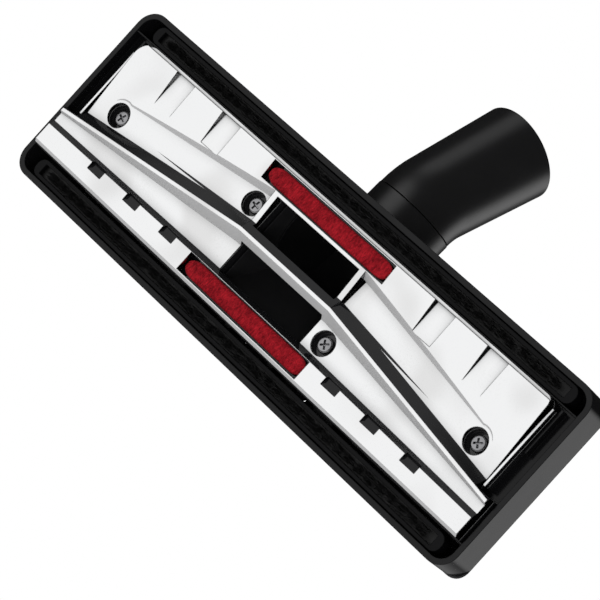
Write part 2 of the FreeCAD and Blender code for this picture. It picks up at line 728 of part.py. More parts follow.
def turned(part, angle, x="0", y="0", z="0"):
    """Tilt a finished solid about X by an angle formula and set its place."""
    part.Placement = Placement(Vector(), Rotation(Vector(1, 0, 0), 30))
    bind(part, "Placement.Rotation.Angle", angle)
    place(part, x=x, y=y, z=z)
    return part


def on_collar(part):
    """Move a solid made along Z from the pivot onto the collar's axis."""
    return turned(part, "collar_slope - 90", "0", "pivot_y", "pivot_height")


def make_neck_drum():
    drum = rod("DrumBody", "x", "drum_radius", ("-drum_half", "drum_half"), ("0", "0"))
    trunnions = rod("Trunnions", "x", "trunnion_radius", ("-drum_half - trunnion_length", "drum_half + trunnion_length"),
                    ("0", "0"))
    collar = rod("Collar", "z", "collar_radius", ("0", "collar_end"), ("0", "0"))
    hollow = rod("DrumHollow", "x", "drum_radius - drum_wall", ("drum_wall - drum_half", "drum_half - drum_wall"),
                 ("0", "0"))
    bore = rod("CollarBore", "z", "spigot_radius + running_gap", ("0", "collar_end + 1"), ("0", "0"))
    groove = rod("RingGroove", "z", "ring_radius + 0.05", ("collar_end - 9", "collar_end - 9 + ring_width + 0.2"),
                 ("0", "0"))
    window = drawn("DrumWindow", "YZ", [
        ("drum_radius * 0.1", "0"), ("drum_radius * 1.2", "drum_radius * 0.3"),
        ("drum_radius * 1.2", "-drum_radius * 1.2"), ("drum_radius * -0.1", "-drum_radius * 1.2")],
        ("drum_wall - drum_half", "drum_half - drum_wall"))
    pin_bores = rod("TrunnionBores", "x", "trunnion_radius - 2.5", ("-drum_half - 10", "-drum_half - 0.5"), ("0", "0"))
    drum_solid = joined("DrumSolid", [drum, trunnions, collar])
    return on_collar(cut("NeckDrum", drum_solid, [hollow, bore, groove, window, pin_bores]))


def make_elbow():
    start = "(collar_end + seam_gap)"

    def bent(name, radius, end_radius, length, extra):
        bend = doc.addObject("Part::Torus", name + "Bend")
        bend.Placement = Placement(Vector(), Rotation(Vector(0, 1, 0), Vector(0, 0, 1), Vector(1, 0, 0), "ZXY"))
        bind(bend, "Radius1", "bend_radius")
        bind(bend, "Radius2", radius)
        bind(bend, "Angle3", "bend_angle")
        place(bend, y="-bend_radius", z=start)
        run = doc.addObject("Part::Cone", name + "Run")
        bind(run, "Radius1", radius)
        bind(run, "Radius2", end_radius)
        bind(run, "Height", length)
        turned(run, "bend_angle", "0", "-bend_radius + bend_radius * cos(bend_angle)",
               f"{start} + bend_radius * sin(bend_angle)")
        return [bend, run] + extra

    spigot = rod("Spigot", "z", "spigot_radius", ("collar_end - spigot_length", start + " + 1"), ("0", "0"))
    outside = joined("ElbowOutside", bent("Elbow", "elbow_radius", "mouth_radius", "straight_length", [spigot]))
    tunnel = rod("SpigotBore", "z", "passage_radius", ("collar_end - spigot_length - 1", start + " + 0.5"), ("0", "0"))
    inside = joined("ElbowInside", bent("Tunnel", "passage_radius", "passage_radius + 0.01", "straight_length", [tunnel]))
    socket = doc.addObject("Part::Cylinder", "Socket")
    bind(socket, "Radius", "socket_radius")
    bind(socket, "Height", "socket_depth + 1")
    reach = "(straight_length - socket_depth)"
    turned(socket, "bend_angle", "0",
           f"-bend_radius + bend_radius * cos(bend_angle) - {reach} * sin(bend_angle)",
           f"{start} + bend_radius * sin(bend_angle) + {reach} * cos(bend_angle)")
    grip = cut("SpigotGroove", rod("GrooveOuter", "z", "spigot_radius + 1", (
        "collar_end - 9", "collar_end - 9 + ring_width + 0.2"), ("0", "0")),
        [rod("GrooveInner", "z", "ring_bore - fit_gap", ("collar_end - 10", "collar_end"), ("0", "0"))])
    return on_collar(cut("ElbowTube", outside, [inside, socket, grip]))


def make_swivel_ring():
    ring = rod("RingOuter", "z", "ring_radius", ("collar_end - 8.9", "collar_end - 8.9 + ring_width"), ("0", "0"))
    bore = rod("RingBore", "z", "ring_bore", ("collar_end - 10", "collar_end"), ("0", "0"))
    split = block("RingSplit", ("-1.5", "1.5"), ("0", "30"), ("collar_end - 10", "collar_end"))
    return on_collar(cut("SwivelRing", ring, [bore, split]))


def make_retainer(side, sign):
    reach = beside("drum_half + running_gap", "drum_half + trunnion_length - running_gap", sign)
    foot = block(side + "CapFoot", reach, ("pivot_y - post_half", "pivot_y + post_half"),
                 ("pivot_height", "pivot_height + cap_height"))
    arch = rod(side + "CapArch", "x", "trunnion_radius + 3", reach, ("pivot_y", "pivot_height"))
    bore = rod(side + "CapBore", "x", "trunnion_radius + fit_gap", ("-head_length / 2", "head_length / 2"),
               ("pivot_y", "pivot_height"))
    below = block(side + "CapBelow", ("-head_length", "head_length"), ("-head_depth", "head_depth"),
                  ("0", "pivot_height"))
    middle = f"(({reach[0]}) + ({reach[1]})) / 2"
    holes = [rod(f"{side}CapHole{turn}", "z", "cap_screw_radius + 0.1", ("pivot_height - 1", "pivot_height + 20"),
                 (middle, f"pivot_y {turn} cap_screw_line")) for turn in "+-"]
    return cut(side + "Retainer", joined(side + "CapSolid", [foot, arch]), [bore, below] + holes)


def make_retainer_screws():
    screws = []
    for side, sign in SIDES:
        reach = beside("drum_half + running_gap", "drum_half + trunnion_length - running_gap", sign)
        middle = f"(({reach[0]}) + ({reach[1]})) / 2"
        for turn in "+-":
            spot = (middle, f"pivot_y {turn} cap_screw_line")
            head = rod(f"{side}CapScrewHead{turn}", "z", "cap_screw_radius * 1.8",
                       ("pivot_height + cap_height", "pivot_height + cap_height + 1.8"), spot)
            shank = rod(f"{side}CapScrewShank{turn}", "z", "cap_screw_radius",
                        ("pivot_height + cap_height - cap_screw_length", "pivot_height + cap_height + 0.1"), spot)
            screws.append(joined(f"{side}CapScrew{turn}", [head, shank]))
    return grouped("RetainerScrews", screws)


def make_detent_springs():
    """Two arched leaves on their ledges, one under each hub of the rocker."""
    top = "(pedal_height - hub_radius - running_gap)"
    foot = f"({top} - leaf_height)"
    springs = []
    for side, sign in SIDES:
        springs.append(drawn(side + "Leaf", "YZ", [
            ("pedal_y - leaf_length", foot), ("pedal_y - leaf_length / 2 + leaf_thickness", foot),
            ("pedal_y - 0.5", f"{top} - leaf_thickness"), ("pedal_y + 0.8", f"{top} - leaf_thickness - 0.6"),
            ("pedal_y + 1.2", f"{top} - 0.6"), ("pedal_y - 0.5", top),
            ("pedal_y - leaf_length / 2", f"{foot} + leaf_thickness"),
            ("pedal_y - leaf_length", f"{foot} + leaf_thickness")],
            beside("arm_inner", "arm_inner + arm_thickness", sign)))
    return grouped("DetentSprings", springs)


def make_brush_carrier():
    pin_y = "(pedal_y - pedal_arm * cos(pedal_tilt))"
    pin_z = "(pedal_height + pedal_arm * sin(pedal_tilt))"
    solids = []
    for name, sign in (("Front", "-"), ("Rear", "")):
        line = f"{sign}(bar_line)"
        solids.append(rounded(name + "BarRound", block(name + "Bar", ("-bar_length / 2", "bar_length / 2"), (
            f"{line} - bar_width / 2", f"{line} + bar_width / 2"), ("bar_foot", "bar_top")),
            size("bar_width") * 0.45, upright))
    for side, sign in SIDES:
        reach = beside("arm_line - arm_width / 2", "arm_line + arm_width / 2", sign)
        solids.append(block(side + "Arm", reach, ("-bar_line - 3", "bar_line + 3"), ("arm_foot", "arm_top")))
        for name, turn in (("Front", "-"), ("Rear", "")):
            solids.append(block(side + name + "Riser", reach, (f"{turn}(bar_line) - 3", f"{turn}(bar_line) + 3"),
                                ("bar_top - 1", "arm_top")))
        tower = beside("tower_inner", "tower_inner + tower_thickness", sign)
        solids.append(block(side + "Tower", tower, (f"{pin_y} - drive_pin_radius - 2.4", f"{pin_y} + 3.5"),
                            ("arm_foot", f"{pin_z} + drive_pin_radius + 1.5")))
        solids.append(block(side + "TowerFoot", tower, ("-bar_line - 2", "bar_width / 2 - bar_line"),
                            ("bar_top - 1", "arm_top")))
    cuts = [block("DriveSlot", ("-pedal_half", "pedal_half"), (f"{pin_y} - drive_pin_radius - 1", f"{pin_y} + 8"),
                  (f"{pin_z} - drive_pin_radius - 0.15", f"{pin_z} + drive_pin_radius + 0.15"))]
    for side, sign in SIDES:
        step = "" if sign > 0 else "-"
        for name, line in (("Front", "arm_width - bar_line"), ("Rear", "bar_line - arm_width")):
            cuts.append(rod(f"{side}{name}GuideHole", "z", "guide_radius + running_gap", ("arm_foot - 1", "arm_top + 1"),
                            (f"{step}(arm_line)", line)))
    for name, sign in (("Front", "-"), ("Rear", "")):
        line = f"{sign}(bar_line)"
        cuts.append(block(name + "BackSeat", ("-bar_length / 2 + 4", "bar_length / 2 - 4"), (
            f"{line} - back_width / 2", f"{line} + back_width / 2"), ("bar_foot - 1", "bar_top - 2")))
    return cut("BrushCarrier", joined("CarrierSolid", solids), cuts)


def make_brush(name, sign):
    line = f"{sign}(bar_line)"
    back = block(name + "Back", ("-bar_length / 2 + 4", "bar_length / 2 - 4"), (
        f"{line} - back_width / 2", f"{line} + back_width / 2"), ("bar_top - 2 - back_height", "bar_top - 2"))
    count = int((size("head_length") - 2 * size("bar_end_margin") - 12) / size("tuft_pitch"))
    tufts = []
    for number in range(count):
        spot = f"({number} - {count - 1} / 2) * tuft_pitch"
        tufts.append(block(f"{name}Tuft{number}", (f"{spot} - tuft_width / 2", f"{spot} + tuft_width / 2"), (
            f"{line} - tuft_depth / 2", f"{line} + tuft_depth / 2"), ("tuft_foot", "bar_top - 2 - back_height")))
    return back, grouped(name + "Bristles", tufts)


def make_pedal():
    """Rocker in level position about its pin, then tipped so that its front end stands up."""
    plate = rounded("PedalPlate", block("PedalBlock", ("-pedal_half", "pedal_half"), ("-pedal_reach", "pedal_reach"),
                                        ("pedal_rise", "pedal_rise + pedal_thickness")), 3.0, upright)
    solids = [plate]
    for side, sign in SIDES:
        reach = beside("arm_inner", "arm_inner + arm_thickness", sign)
        solids.append(drawn(side + "PedalArm", "YZ", [
            ("-pedal_arm - 2.6", "-2.6"), ("-pedal_arm + 2.6", "-2.6"), ("0", "-hub_radius"), ("hub_radius", "0"),
            ("pedal_reach * 0.5", "pedal_rise + 0.5"), ("-pedal_reach * 0.9", "pedal_rise + 0.5"),
            ("-pedal_arm - 2.6", "2.6")], reach))
        solids.append(rod(side + "Hub", "x", "hub_radius", reach, ("0", "0")))
        solids.append(rod(side + "DrivePin", "x", "drive_pin_radius", beside("tower_inner - 1", "arm_inner + 1", sign),
                          ("-pedal_arm", "0")))
    bore = rod("PedalBore", "x", "pin_radius + fit_gap", ("-pedal_half - 5", "pedal_half + 5"), ("0", "0"))
    return turned(cut("Pedal", joined("PedalSolid", solids), [bore]), "-pedal_tilt", "0", "pedal_y", "pedal_height")


def make_pedal_pin():
    return rod("PedalPin", "x", "pin_radius", ("-pin_length / 2", "pin_length / 2"), ("pedal_y", "pedal_height"))


pieces = {
    "base_frame": make_base_frame(),
    "top_cover": make_top_cover(),
    "sole_plate": make_sole_plate(),
    "lint_strip_rear": make_lint_strip("RearStrip", "strip_rear_y"),
    "lint_strip_front": make_lint_strip("FrontStrip", "strip_front_y"),
    "sole_screws": make_sole_screws(),
    "neck_drum": make_neck_drum(),
    "retainer_left": make_retainer("Left", 1),
    "retainer_right": make_retainer("Right", -1),
    "retainer_screws": make_retainer_screws(),
    "detent_springs": make_detent_springs(),
    "elbow_tube": make_elbow(),
    "swivel_ring": make_swivel_ring(),
    "brush_carrier": make_brush_carrier(),
    "pedal": make_pedal(),
    "pedal_pin": make_pedal_pin(),
}
pieces["air_duct"], pieces["duct_seal"] = make_air_duct()
pieces["brush_back_front"], pieces["bristles_front"] = make_brush("Front", "-")
pieces["brush_back_rear"], pieces["bristles_rear"] = make_brush("Rear", "")

# Names, checks and files
doc.recompute()
for name, piece in pieces.items():
    piece.Label = name
for item in doc.Objects:
    if "Invalid" in item.State or "Error" in item.State:
        raise RuntimeError(f"{item.Name} failed: {item.State}")
for name, piece in pieces.items():
    if piece.Shape.isNull() or not piece.Shape.isValid():
        raise RuntimeError(f"{name} has no valid shape")
os.makedirs("parts", exist_ok=True)
for name, piece in pieces.items():
    piece.Shape.exportStep(f"parts/{name}.step")
    print(name, len(piece.Shape.Solids), round(piece.Shape.Volume))
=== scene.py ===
import math
import bpy
import numpy as np
from mathutils import Matrix, Vector


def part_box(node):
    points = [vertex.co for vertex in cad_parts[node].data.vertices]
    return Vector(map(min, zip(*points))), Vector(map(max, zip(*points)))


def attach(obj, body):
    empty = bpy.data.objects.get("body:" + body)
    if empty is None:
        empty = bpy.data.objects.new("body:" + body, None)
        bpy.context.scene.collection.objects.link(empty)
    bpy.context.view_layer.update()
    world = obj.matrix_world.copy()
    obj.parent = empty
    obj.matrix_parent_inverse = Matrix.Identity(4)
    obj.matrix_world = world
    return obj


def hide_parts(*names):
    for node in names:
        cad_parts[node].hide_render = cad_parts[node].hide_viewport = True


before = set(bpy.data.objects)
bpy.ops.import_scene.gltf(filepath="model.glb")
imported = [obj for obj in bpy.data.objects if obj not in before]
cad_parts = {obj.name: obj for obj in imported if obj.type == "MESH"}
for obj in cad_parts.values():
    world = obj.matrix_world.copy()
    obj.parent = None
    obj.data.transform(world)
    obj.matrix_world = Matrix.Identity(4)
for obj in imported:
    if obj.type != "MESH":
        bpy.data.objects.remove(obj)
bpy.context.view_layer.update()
scene = bpy.context.scene
scene.view_settings.view_transform = "Standard"
print("frame loaded:", len(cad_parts), "nodes")


# Helpers for meshes. All lengths are in metres.

def makeMesh(name, points, faces, smooth=True):  # points is an array of rows (x, y, z)
    mesh = bpy.data.meshes.new(name)
    mesh.from_pydata(points.tolist(), [], faces)
    mesh.polygons.foreach_set("use_smooth", np.full(len(mesh.polygons), smooth))
    mesh.update()
    piece = bpy.data.objects.new(name, mesh)
    scene.collection.objects.link(piece)
    return piece


def gridFaces(rows, columns, wrap=False):  # quads of a rows by columns grid, closed round the columns if wrap
    index = np.arange(rows * columns).reshape(rows, columns)
    if wrap:
        index = np.concatenate([index, index[:, :1]], axis=1)
    quads = np.stack([index[:-1, :-1], index[:-1, 1:], index[1:, 1:], index[1:, :-1]], axis=-1)
    return quads.reshape(-1, 4).tolist()


def dress(piece, material):
    piece.data.materials.clear()
    piece.data.materials.append(material)


def softNoise(shape, cells, seed):  # random heights on a coarse grid, blended smoothly to the wanted shape
    rng = np.random.default_rng(seed)
    coarse = rng.uniform(-1, 1, (cells[0] + 2, cells[1] + 2))
    across = np.linspace(0, cells[0], shape[0])[:, None]
    along = np.linspace(0, cells[1], shape[1])[None, :]
    i, j = across.astype(int), along.astype(int)
    a, b = across - i, along - j
    a, b = a * a * (3 - 2 * a), b * b * (3 - 2 * b)
    low = coarse[i, j] * (1 - b) + coarse[i, j + 1] * b
    high = coarse[i + 1, j] * (1 - b) + coarse[i + 1, j + 1] * b
    return low * (1 - a) + high * a


# Helpers for node trees. Most of them give an output socket, which the next one takes as a value.

mixSockets = {"RGBA": (0, 6, 7, 2), "FLOAT": (0, 2, 3, 0)}  # numbers of factor, both values and result


def setInputs(tree, node, values):  # by label or number; an output socket is linked, a plain value is set
    for place, value in values.items():
        if isinstance(value, bpy.types.NodeSocket):
            tree.links.new(value, node.inputs[place])
        else:
            node.inputs[place].default_value = value


def addNode(tree, kind, values=None, **settings):
    node = tree.nodes.new(kind)
    for name, value in settings.items():
        setattr(node, name, value)
    setInputs(tree, node, values or {})
    return node


def addMath(tree, operation, *values, clamp=False):
    node = addNode(tree, "ShaderNodeMath", dict(enumerate(values)), operation=operation, use_clamp=clamp)
    return node.outputs[0]


def addDot(tree, first, second):
    node = addNode(tree, "ShaderNodeVectorMath", {0: first, 1: second}, operation="DOT_PRODUCT")
    return node.outputs["Value"]


def addRange(tree, value, ends, smooth=False):  # ends are from low, from high, to low and to high
    node = addNode(tree, "ShaderNodeMapRange", dict(enumerate((value, *ends))),
                   interpolation_type="SMOOTHSTEP" if smooth else "LINEAR")
    return node.outputs["Result"]


def addMix(tree, kind, factor, first, second):  # a colour is a tuple (red, green, blue) or an output socket
    *places, result = mixSockets[kind]
    values = [(*value, 1) if isinstance(value, tuple) else value for value in (factor, first, second)]
    return addNode(tree, "ShaderNodeMix", dict(zip(places, values)), data_type=kind).outputs[result]


def addNoise(tree, place, scale, detail, roughness=0.5):
    node = addNode(tree, "ShaderNodeTexNoise",
                   {"Vector": place, "Scale": scale, "Detail": detail, "Roughness": roughness})
    return node.outputs["Fac"]


def addBump(tree, values):
    return addNode(tree, "ShaderNodeBump", values).outputs["Normal"]


def addPlace(tree):  # position on the piece
    return addNode(tree, "ShaderNodeTexCoord").outputs["Object"]


def splitVector(tree, vector):
    return addNode(tree, "ShaderNodeSeparateXYZ", {0: vector}).outputs


# Effects that the materials share, each a node group.

# The edge mask goes by the cosine between the real and the rounded normal: none at flat and full at sharp.
edgeEffect = {"radius": 0.0004, "samples": 6, "flat": 0.995, "sharp": 0.9}
grainEffect = {"grainDetail": 2.0, "waveDetail": 1.0, "blotchScale": 180.0, "blotchDetail": 4.0}
speckleEffect = {"dotDetail": 6.0, "dotRoughness": 0.7, "patchScale": 35.0, "patchDetail": 3.0,
                 "sharpLow": 0.3, "sharpHigh": 0.46}


def newGroup(name, inputs, outputs):  # inputs map a label to its start value, or to None for a vector
    group = bpy.data.node_groups.new(name, "ShaderNodeTree")
    for label, value in inputs.items():
        kind = "NodeSocketVector" if value is None else "NodeSocketFloat"
        socket = group.interface.new_socket(label, in_out="INPUT", socket_type=kind)
        if value is not None:
            socket.default_value = value
    for label, kind in outputs.items():
        group.interface.new_socket(label, in_out="OUTPUT", socket_type=kind)
    return group, group.nodes.new("NodeGroupInput").outputs, group.nodes.new("NodeGroupOutput")


def makeSoftEdge():  # rounds the shading over sharp edges, and gives a mask that is 1 on them
    group, given, end = newGroup("softEdge", {"Radius": edgeEffect["radius"]},
                                 {"Normal": "NodeSocketVector", "Edge": "NodeSocketFloat"})
    rounded = addNode(group, "ShaderNodeBevel", {"Radius": given["Radius"]}, samples=edgeEffect["samples"])
    real = addNode(group, "ShaderNodeNewGeometry")
    turn = addDot(group, rounded.outputs["Normal"], real.outputs["Normal"])
    mask = addRange(group, turn, (edgeEffect["flat"], edgeEffect["sharp"], 0.0, 1.0))
    setInputs(group, end, {"Normal": rounded.outputs["Normal"], "Edge": mask})
    return group


def makeSurfaceGrain():  # fine grain and slow waviness of a moulded or plated surface
    values = grainEffect
    group, given, end = newGroup(
        "surfaceGrain",
        {"Grain Scale": 3000.0, "Grain Depth": 0.00002, "Wave Scale": 60.0, "Wave Depth": 0.0001,
         "Rough Low": 0.1, "Rough High": 0.2, "Normal": None},
        {"Normal": "NodeSocketVector", "Roughness": "NodeSocketFloat"})
    place = addPlace(group)
    grain = addNoise(group, place, given["Grain Scale"], values["grainDetail"])
    wave = addNoise(group, place, given["Wave Scale"], values["waveDetail"])
    blotch = addNoise(group, place, values["blotchScale"], values["blotchDetail"])
    waved = addBump(group, {"Strength": 1.0, "Distance": given["Wave Depth"], "Height": wave,
                            "Normal": given["Normal"]})
    grained = addBump(group, {"Strength": 1.0, "Distance": given["Grain Depth"], "Height": grain,
                              "Normal": waved})
    rough = addRange(group, blotch, (0.0, 1.0, given["Rough Low"], given["Rough High"]))
    setInputs(group, end, {"Normal": grained, "Roughness": rough})
    return group


def makeSpeckle():  # sparse dust and fine scuffs, as a mask
    values = speckleEffect
    group, given, end = newGroup("speckle", {"Scale": 900.0, "Cover": 0.3}, {"Mask": "NodeSocketFloat"})
    place = addPlace(group)
    dots = addNoise(group, place, given["Scale"], values["dotDetail"], values["dotRoughness"])
    patches = addNoise(group, place, values["patchScale"], values["patchDetail"])
    product = addMath(group, "MULTIPLY", dots, patches)
    sharp = addRange(group, product, (values["sharpLow"], values["sharpHigh"], 0.0, 1.0))
    setInputs(group, end, {"Mask": addMath(group, "MULTIPLY", sharp, given["Cover"])})
    return group


effects = {"softEdge": makeSoftEdge(), "surfaceGrain": makeSurfaceGrain(), "speckle": makeSpeckle()}


def addEffect(tree, name, values):  # gives the effect's outputs
    return addNode(tree, "ShaderNodeGroup", values, node_tree=effects[name]).outputs


def addSurface(tree, radius, rough, grain):  # gives the mask of the edges, the normal and the roughness
    edge = addEffect(tree, "softEdge", {"Radius": radius})
    labels = ("Grain Scale", "Grain Depth", "Wave Scale", "Wave Depth", "Rough Low", "Rough High")
    skin = addEffect(tree, "surfaceGrain", {**dict(zip(labels, (*grain, *rough))), "Normal": edge["Normal"]})
    return edge["Edge"], skin["Normal"], skin["Roughness"]


def newMaterial(name):
    material = bpy.data.materials.new(name)
    material.use_nodes = True
    tree = material.node_tree
    return material, tree, tree.nodes["Principled BSDF"]


# Moulded plastics: colour, lighter colour of dust and of edges, where the lighter edges are partly wear and
# partly painted highlight, roughness low and high, specular, radius of the soft edges, and grain as scale and
# depth of the fine grain and of the waves.
mouldedFinishes = {
    "casingPlastic": ((0.005, 0.005, 0.0055), (0.012, 0.012, 0.0125), (0.12, 0.2), 0.22, 0.0005,
                      (2500, 0.000002, 90, 0.00006)),
    "coverPlastic": ((0.013, 0.013, 0.014), (0.05, 0.05, 0.052), (0.12, 0.2), 0.4, 0.0008,
                     (2500, 0.000002, 60, 0.00008)),
    "neckPlastic": ((0.008, 0.008, 0.0085), (0.022, 0.022, 0.0225), (0.30, 0.36), 0.75, 0.0004,
                    (5200, 0.000006, 90, 0.00004)),
    "elbowPlastic": ((0.008, 0.008, 0.0085), (0.022, 0.022, 0.0225), (0.30, 0.36), 0.85, 0.0004,
                     (5200, 0.000006, 70, 0.00005)),
    "innerPlastic": ((0.016, 0.016, 0.017), (0.04, 0.04, 0.04), (0.45, 0.6), 0.4, 0.0003,
                     (4000, 0.00001, 90, 0.00003)),
    "capPlastic": ((0.09, 0.09, 0.095), (0.16, 0.16, 0.165), (0.4, 0.55), 0.4, 0.0004,
                   (4000, 0.00001, 90, 0.00003)),
    "ringPlastic": ((0.6, 0.6, 0.58), (0.66, 0.66, 0.64), (0.35, 0.5), 0.4, 0.0003,
                    (4000, 0.000006, 90, 0.00003)),
    "barPlastic": ((0.003, 0.003, 0.0035), (0.007, 0.007, 0.0075), (0.20, 0.30), 0.10, 0.0005,
                   (3000, 0.000003, 120, 0.00005)),
    "pedalPlastic": ((0.055, 0.055, 0.06), (0.12, 0.12, 0.125), (0.3, 0.42), 0.45, 0.0006,
                     (3600, 0.00001, 90, 0.00004)),
    "backPlastic": ((0.004, 0.004, 0.004), (0.01, 0.01, 0.01), (0.4, 0.55), 0.4, 0.0003,
                    (4000, 0.000006, 90, 0.00003)),
    "sealFoam": ((0.02, 0.02, 0.02), (0.05, 0.05, 0.05), (0.8, 0.95), 0.2, 0.0003,
                 (2600, 0.00006, 400, 0.0001)),
}
# edgeCover sets how much of the lighter colour the edges get: partly edge wear, partly painted highlight
plasticWearAndHighlight = {"dustScale": 1400.0, "dustCover": 0.35, "edgeCover": 0.4}


def makeMoulded(name, colour, wornAndHighlit, rough, specular, radius, grain):
    material, tree, shader = newMaterial(name)
    edge, normal, roughness = addSurface(tree, radius, rough, grain)
    dust = addEffect(tree, "speckle", {"Scale": plasticWearAndHighlight["dustScale"], "Cover": plasticWearAndHighlight["dustCover"]})
    # painted highlight and wear: edges and dust take the lighter colour
    wearAndHighlight = addMath(tree, "MULTIPLY_ADD", edge, plasticWearAndHighlight["edgeCover"], dust["Mask"], clamp=True)
    setInputs(tree, shader, {"Base Color": addMix(tree, "RGBA", wearAndHighlight, colour, wornAndHighlit), "Normal": normal,
                             "Roughness": roughness, "Specular IOR Level": specular})
    return material


# Bare metals: colour, tarnish colour, roughness low and high, radius of the soft edges, and grain as above.
metalFinishes = {
    "screwSteel": ((0.36, 0.36, 0.37), (0.16, 0.16, 0.165), (0.20, 0.34), 0.0002,
                   (2600, 0.000008, 300, 0.00002)),
    "springSteel": ((0.50, 0.50, 0.50), (0.3, 0.3, 0.3), (0.25, 0.4), 0.0001, (3000, 0.000004, 200, 0.00002)),
    "pinSteel": ((0.60, 0.60, 0.61), (0.4, 0.4, 0.41), (0.15, 0.25), 0.0002, (3000, 0.000002, 200, 0.00001)),
}
metalWear = {"Scale": 1100.0, "Cover": 0.4}  # inputs of the speckle effect


def makeMetal(name, colour, dull, rough, radius, grain):
    material, tree, shader = newMaterial(name)
    normal, roughness = addSurface(tree, radius, rough, grain)[1:]
    dust = addEffect(tree, "speckle", metalWear)
    setInputs(tree, shader, {"Base Color": addMix(tree, "RGBA", dust["Mask"], colour, dull), "Metallic": 1.0,
                             "Normal": normal, "Roughness": roughness})
    return material


# The sole is a plated skin on a black moulding. Its black in the pockets, in the seats of the strips and on
# slopes that look to the rear is painted shade, and so are its dark edge lines and its darkening near walls
# and where it is seen in a reflection; its grey on slopes that look to the front is a painted reflection.
# Heights are above the floor plane. Slope and rear values are the normal's part to the front and to the rear,
# and below values are its part along z for faces that look down. The strip values bound the seats of the lint
# strips.
chromeSole = {"colour": (0.88, 0.885, 0.89), "dull": (0.70, 0.70, 0.70), "paintedBlackShade": (0.010, 0.010, 0.011),
              "rough": (0.045, 0.09), "radius": 0.0004, "grain": (900, 0.000001, 130, 0.00003),
              "second": 0.42, "shadeTop": 0.0058, "shadeBlend": 0.0003,
              "paintedEdgeShade": (0.16, 0.16, 0.165), "edgeCover": 0.8,
              "satinPaintedGrey": (0.62, 0.62, 0.625), "satinRough": 0.5, "satinMetal": 0.1,
              "slopeLow": 0.30, "slopeHigh": 0.42, "rearLow": 0.10, "rearHigh": 0.22,
              "belowLow": -0.35, "belowHigh": -0.2,
              "cloud": (0.76, 0.76, 0.76), "cloudScale": 30.0, "cloudDetail": 1.0,
              "cloudLow": 0.50, "cloudHigh": 0.72,
              "nearWall": 0.005, "nearSamples": 8, "nearLow": 0.45, "nearShade": 0.30,
              "stripHalf": 0.0386, "stripLine": 0.0200, "stripSeat": 0.0046}


def makeChrome():
    values = chromeSole
    material, tree, shader = newMaterial("soleChrome")
    edge, normal, roughness = addSurface(tree, values["radius"], values["rough"], values["grain"])
    place = addPlace(tree)
    parts = splitVector(tree, place)
    facing = addNode(tree, "ShaderNodeNewGeometry").outputs["True Normal"]
    turned = addNode(tree, "ShaderNodeVectorTransform", {0: facing}, vector_type="NORMAL",
                     convert_from="WORLD", convert_to="OBJECT")
    lean = splitVector(tree, turned.outputs[0])
    below = addRange(tree, lean["Z"], (values["belowLow"], values["belowHigh"], 1.0, 0.0))

    # Painted shade: black is painted deep in the pockets, in the seats of the strips and on slopes that look
    # to the rear.
    shadeEnds = (values["shadeTop"] - values["shadeBlend"], values["shadeTop"] + values["shadeBlend"])
    pocketShade = addRange(tree, parts["Z"], (*shadeEnds, 0.0, 1.0))
    seatLimits = (("X", "LESS_THAN", "stripHalf"), ("Y", "GREATER_THAN", "stripLine"),
                  ("Z", "GREATER_THAN", "stripSeat"))
    inSeat = [addMath(tree, kind, addMath(tree, "ABSOLUTE", parts[axis]), values[limit])
              for axis, kind, limit in seatLimits]
    seat = addMath(tree, "MULTIPLY", addMath(tree, "MULTIPLY", inSeat[0], inSeat[1]), inSeat[2])
    toRear = addRange(tree, lean["Y"], (values["rearLow"], values["rearHigh"], 0.0, 1.0))
    rear = addMath(tree, "MULTIPLY", toRear, below)
    # painted shade: the black goes wherever any of these three masks is
    paintedBlackShade = addMath(tree, "MAXIMUM", addMath(tree, "MAXIMUM", pocketShade, seat), rear)
    plated = addMath(tree, "SUBTRACT", 1.0, paintedBlackShade, clamp=True)

    # The plating is a little cloudy. Painted shade: dark lines on its edges, and darker near walls and where
    # it is seen in a reflection.
    dust = addEffect(tree, "speckle", metalWear)
    cloud = addNoise(tree, place, values["cloudScale"], values["cloudDetail"])
    drift = addRange(tree, cloud, (values["cloudLow"], values["cloudHigh"], 0.0, 1.0), smooth=True)
    skin = addMix(tree, "RGBA", dust["Mask"], values["colour"], values["dull"])
    skin = addMix(tree, "RGBA", drift, skin, values["cloud"])
    # painted shade: a dark line along every edge of the plating
    line = addMath(tree, "MULTIPLY", edge, values["edgeCover"])
    skin = addMix(tree, "RGBA", line, skin, values["paintedEdgeShade"])
    # painted shade: the plating's colour is darker where it is seen in a reflection
    glossyRay = addNode(tree, "ShaderNodeLightPath").outputs["Is Glossy Ray"]
    reflectedShade = addRange(tree, glossyRay, (0.0, 1.0, 1.0, values["second"]))
    # painted shade: the plating's colour is darker close to a wall
    near = addNode(tree, "ShaderNodeAmbientOcclusion", {"Distance": values["nearWall"]},
                   samples=values["nearSamples"], only_local=True)
    nearShade = addRange(tree, near.outputs["AO"], (values["nearLow"], 1.0, values["nearShade"], 1.0))
    shade = addMath(tree, "MULTIPLY", reflectedShade, nearShade)
    skin = addNode(tree, "ShaderNodeVectorMath", {0: skin, "Scale": shade}, operation="SCALE").outputs[0]

    # Slopes that look to the front are satin: rougher, and a grey base colour on them is a painted
    # reflection.
    front = addRange(tree, lean["Y"], (-values["slopeHigh"], -values["slopeLow"], 1.0, 0.0))
    satinPaintedGrey = addMath(tree, "MULTIPLY", front, below)
    # painted reflection: grey base colour on slopes that look to the front
    skin = addMix(tree, "RGBA", satinPaintedGrey, skin, values["satinPaintedGrey"])
    setInputs(tree, shader, {
        "Base Color": addMix(tree, "RGBA", paintedBlackShade, skin, values["paintedBlackShade"]), "Normal": normal,
        "Metallic": addMix(tree, "FLOAT", satinPaintedGrey, plated, values["satinMetal"]),
        "Roughness": addMix(tree, "FLOAT", satinPaintedGrey, roughness, values["satinRough"])})
    return material


